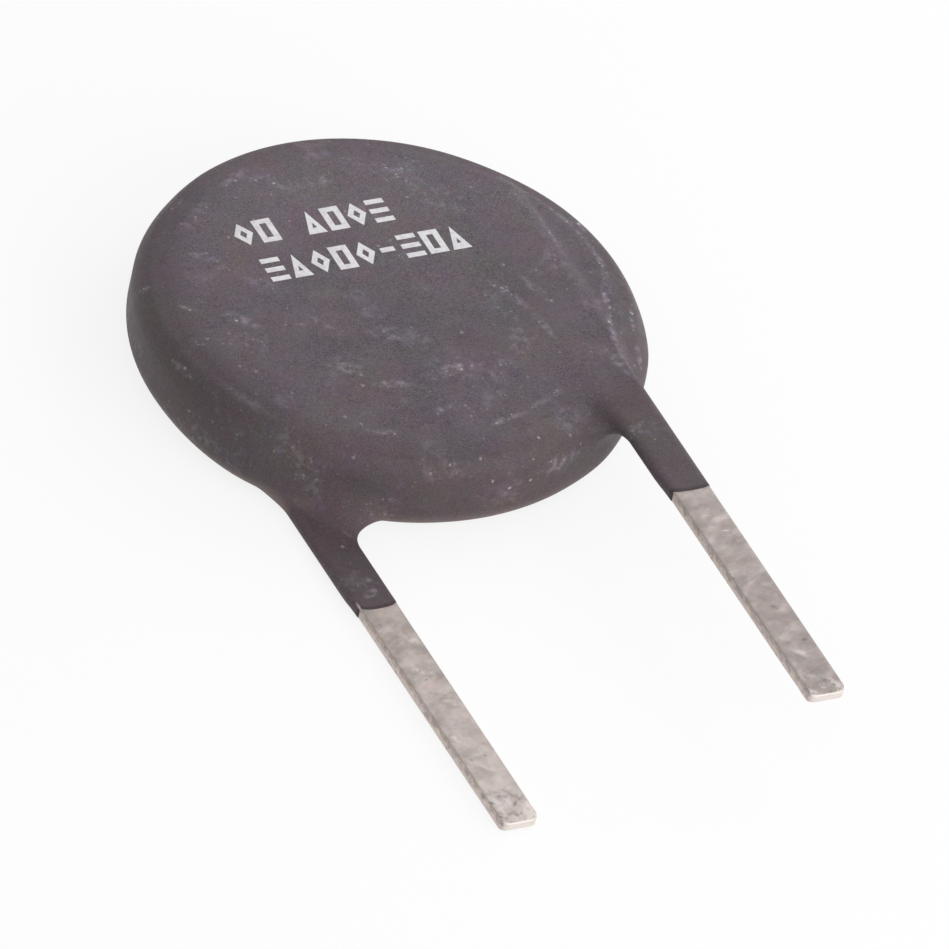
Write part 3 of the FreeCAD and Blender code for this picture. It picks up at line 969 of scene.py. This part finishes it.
def stripRings(low, high):
    # rings from the hidden end to the tip, where the strip gets narrower and thinner
    shape = stripShape
    centre = (low + high) / 2
    half = (high - low) / 2
    tipRound = shape["tipRound"]
    hidden = np.arange(high[1], coatLow[1] + 1.0, -shape["hiddenStep"])
    shown = np.arange(coatLow[1] + 0.9, low[1] + tipRound, -shape["step"])
    tip = low[1] + tipRound * (1 - np.sin(np.linspace(0, math.pi / 2, 9)))
    rings = []
    for y in np.concatenate([hidden, shown, tip]):
        past = max(low[1] + tipRound - y, 0)
        pull = tipRound - math.sqrt(max(tipRound ** 2 - past ** 2, 0))
        nose = 1 - math.sqrt(max(1 - (past / tipRound) ** 2, 0))
        turn = shape["edgeRound"] + shape["edgeSoft"] * nose
        x, z = ringPoints(half[0] - pull, half[2] - shape["tipThin"] * nose, turn).T
        rings.append(np.column_stack([x + centre[0], np.full(len(x), y), z + centre[2]]))
    return rings


def stripFaces(rows, count):
    faces = []
    for row in range(rows - 1):
        for index in range(count):
            after = (index + 1) % count
            faces.append((row * count + index, (row + 1) * count + index,
                          (row + 1) * count + after, row * count + after))
    last = (rows - 1) * count
    middle = last + count
    for index in range(count):
        after = (index + 1) % count
        faces.append((last + index, middle + index, middle + after, last + after))
        faces.append((middle + index, middle + count, middle + after))
    faces.append(tuple(range(count)))
    return faces


def shearSides(points, low, high, seed):
    # torn below, burnished above, all cut inward from the true strip
    shape = stripShape
    centre = (low + high) / 2
    half = (high - low) / 2
    bare = ramp(-points[:, 1], -coatLow[1] - 1.0, -coatLow[1] + 0.2)
    side = (points[:, 0] - centre[0]) / half[0]
    height = (points[:, 2] - centre[2]) / half[2]
    onSide = ramp(np.abs(side), 0.9, 1.0) * (1 - ramp(np.abs(height), 0.75, 1.0))
    stretched = points * np.array([1.0, 1.0, 0.35])
    torn = 0.5 + 0.5 * lumps(stretched, 0.33, seed)
    torn = 0.6 * torn + 0.4 * (0.5 + 0.5 * lumps(points, 0.16, seed + 1))
    cut = shape["shearDepth"] * torn * onSide * bare * (0.45 + 0.55 * ramp(-height, -0.3, 0.3))
    points[:, 0] -= np.sign(side) * cut
    sunk = 0
    for turn, (depth, size) in enumerate(shape["faceWaves"], start=2):
        sunk = sunk + depth * (0.5 + 0.5 * lumps(points, size, seed + turn))
    depth, size = shape["pits"]
    nearTip = ramp(low[1] + shape["pitReach"] - points[:, 1], 0.0, 2.0)
    sunk = sunk + depth * ramp(lumps(points, size, seed + 4), 0.25, 0.8) * nearTip
    points[:, 2] -= np.sign(height) * sunk * ramp(np.abs(height), 0.6, 0.95) * bare
    return points


def makeStrip(name, node, seed):
    low, high = nodeBox(node)
    rings = stripRings(low, high)
    inner = rings[-1].mean(axis=0)
    cap = rings[-1] * 0.5 + inner * 0.5
    cap[:, 1] = low[1]
    points = shearSides(np.concatenate(rings + [cap, [inner]]), low, high, seed)
    return makeObject(name, points, stripFaces(len(rings), len(rings[0])), tinMaterial)


for name, node, seed in (("backStrip", "lead_back", 21), ("frontStrip", "lead_front", 37)):
    strip = makeStrip(name, node, seed)
    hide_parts(node)
    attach(strip, "root")
print("strips made")


# Print: two rows of plain white shapes where the real one is marked

printLook = {
    "stroke": 0.42,
    "height": 2.15,
    "lift": 0.008,
    "facet": 0.2,
    "rows": [
        (-7.5, 6.25, "diamond square gap triangle square diamond stack"),
        (-7.0, 2.7, "stack triangle diamond square diamond dash stack square triangle"),
    ],
    "pitch": 1.56,
    "width": 1.28,
}


def frameShape(outer, inner):
    count = len(outer)
    return [(outer[index], outer[(index + 1) % count], inner[(index + 1) % count], inner[index])
            for index in range(count)]


def block(x, y, width, height):
    return (x, y), (x + width, y), (x + width, y + height), (x, y + height)


def inset(corners, share):
    middle = np.mean(corners, axis=0)
    return middle + (np.array(corners) - middle) * share


def printShapes(kind, x, y):
    look = printLook
    width, height, stroke = look["width"], look["height"], look["stroke"]
    if kind == "square":
        return frameShape(block(x, y, width, height),
                          block(x + stroke, y + stroke, width - 2 * stroke, height - 2 * stroke))
    if kind == "diamond":
        corners = [(x + width / 2, y), (x + width, y + height / 2),
                   (x + width / 2, y + height), (x, y + height / 2)]
        return frameShape(corners, inset(corners, 0.36))
    if kind == "triangle":
        corners = [(x, y), (x + width, y), (x + width / 2, y + height)]
        return frameShape(corners, inset(corners, 0.22))
    if kind == "stack":
        rise = (height - stroke) / 2
        return [block(x, y + step * rise, width, stroke) for step in range(3)]
    if kind == "dash":
        return [block(x + 0.1, y + height * 0.4, width * 0.75, stroke)]
    return []


def paintField(tree, corners, points, faces):
    # lays one four-sided field on the coat in small facets
    look = printLook
    a, b, c, d = np.array(corners)
    long = max(np.linalg.norm(b - a), np.linalg.norm(d - c))
    high = max(np.linalg.norm(d - a), np.linalg.norm(c - b))
    countU = max(int(math.ceil(long / look["facet"])), 1)
    countV = max(int(math.ceil(high / look["facet"])), 1)
    first = len(points)
    for row in range(countV + 1):
        for column in range(countU + 1):
            u, v = column / countU, row / countV
            x, y = (a * (1 - u) + b * u) * (1 - v) + (d * (1 - u) + c * u) * v
            hit = tree.ray_cast(Vector((x, y, 2 * discHeight)) * mm, Vector((0, 0, -1)))
            points.append((x, y, min(hit[0].z / mm + look["lift"], discHeight)))
    for row in range(countV):
        for column in range(countU):
            corner = first + row * (countU + 1) + column
            faces.append((corner, corner + 1, corner + countU + 2, corner + countU + 1))


def makePrint():
    look = printLook
    tree = BVHTree.FromObject(coat, bpy.context.evaluated_depsgraph_get())
    points, faces = [], []
    for startX, startY, kinds in look["rows"]:
        for index, kind in enumerate(kinds.split()):
            for corners in printShapes(kind, startX + index * look["pitch"], startY):
                paintField(tree, corners, points, faces)
    return makeObject("printMarks", points, faces, inkMaterial)


marks = makePrint()
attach(marks, "root")
print("print made")


# What the coat encloses keeps the frame's own meshes and gets its finishes

innerFinish = {
    # name, light and dark colour, roughness, metallic, size of the clouds, depth of the grain
    ("ceramic_disc",): ("ceramicMaterial", (58, 58, 61), (40, 40, 43), 0.8, 0.0, 0.8, 0.02),
    ("electrode_back", "electrode_front"):
        ("silverMaterial", (228, 226, 220), (196, 192, 184), 0.45, 1.0, 1.2, 0.01),
    ("solder_back", "solder_front"):
        ("solderMaterial", (176, 177, 178), (138, 139, 142), 0.35, 1.0, 0.7, 0.02),
}

for nodes, finish in innerFinish.items():
    material = makePlainMaterial(*finish)
    for node in nodes:
        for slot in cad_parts[node].material_slots:
            slot.material = material
print("inner pieces finished")


# Floor, light and camera

studio = {
    "floorHalf": 0.5,
    "floorLevel": -0.01,
    "floorColour": (0.86, 0.86, 0.86, 1),
    "floorGlow": 1.1,
    "floorShare": 0.25,
    "ambient": 0.43,
    # place, size and power in watts of each soft lamp, aimed at the disc
    "lamps": [
        ((0.20, 0.06, 0.12), 0.20, 0.15),
        ((-0.10, -0.28, 0.26), 0.30, 0.18),
        ((0.12, -0.32, 0.14), 0.30, 0.50),
    ],
}


def seenDirectly(board):
    path = board.add("ShaderNodeLightPath").outputs
    seen = board.math("MAXIMUM", path["Is Camera Ray"], path["Is Glossy Ray"])
    return board.math("MAXIMUM", seen, path["Is Transmission Ray"])


def mixShaders(board, share, first, second, output):
    mix = board.add("ShaderNodeMixShader")
    for index, value in (("0", share), ("1", first.outputs[0]), ("2", second.outputs[0])):
        board.feed(mix, index, value)
    board.feed(board.tree.nodes[output], "Surface", mix.outputs[0])


def makeFloor():
    half = studio["floorHalf"] / mm
    points = [(x * half, y * half, studio["floorLevel"])
              for x, y in ((-1, -1), (1, -1), (1, 1), (-1, 1))]
    material, board, shader = startMaterial("floorMaterial", 0.9, specular=0.1)[:3]
    board.feed(shader, "Base Color", studio["floorColour"])
    glow = board.add("ShaderNodeEmission", Color=(1, 1, 1, 1), Strength=studio["floorGlow"])
    share = board.times(seenDirectly(board), 1 - studio["floorShare"])
    mixShaders(board, share, shader, glow, "Material Output")
    floor = makeObject("paleFloor", points, [(0, 1, 2, 3)], material, smooth=False)


def makeWorld():
    world = bpy.data.worlds.new("studioWorld")
    scene.world = world
    world.use_nodes = True
    board = Board(world.node_tree)
    light = world.node_tree.nodes["Background"]
    board.feed(light, "Color", (1, 1, 1, 1))
    board.feed(light, "Strength", studio["ambient"])
    white = board.add("ShaderNodeBackground", Color=(1, 1, 1, 1), Strength=1.0)
    mixShaders(board, seenDirectly(board), light, white, "World Output")


def makeLamps():
    for index, (place, size, power) in enumerate(studio["lamps"]):
        data = bpy.data.lights.new(f"softLamp{index}", "AREA")
        data.shape = "DISK"
        data.size = size
        data.energy = power
        lamp = bpy.data.objects.new(f"softLamp{index}", data)
        lamp.location = place
        lamp.rotation_euler = Vector(place).to_track_quat("Z", "Y").to_euler()
        scene.collection.objects.link(lamp)


# Camera of the photograph: a long lens from high on the right, rolled a little

view = {
    "right": (0.890568, -0.423864, 0.165010),
    "up": (0.160456, 0.632218, 0.757993),
    "frameWidth": 58.41,
    "offsetRight": 5.499,
    "offsetUp": -8.912,
    "lens": 1600,
    "sensor": 36,
}


def makeCamera():
    right = Vector(view["right"]).normalized()
    up = Vector(view["up"]).normalized()
    back = right.cross(up)
    target = Vector((0, 0, discMiddle)) + view["offsetRight"] * right + view["offsetUp"] * up
    distance = view["frameWidth"] * view["lens"] / view["sensor"]
    data = bpy.data.cameras.new("photoCamera")
    data.lens = view["lens"]
    data.sensor_width = view["sensor"]
    data.clip_start = 0.1
    data.clip_end = 10
    camera = bpy.data.objects.new("photoCamera", data)
    turn = Matrix((right, up, back)).transposed().to_4x4()
    camera.matrix_world = Matrix.Translation((target + distance * back) * mm) @ turn
    scene.collection.objects.link(camera)
    scene.camera = camera


makeFloor()
makeWorld()
makeLamps()
makeCamera()
scene.view_settings.view_transform = "Standard"
print("studio ready")

bpy.context.view_layer.update()
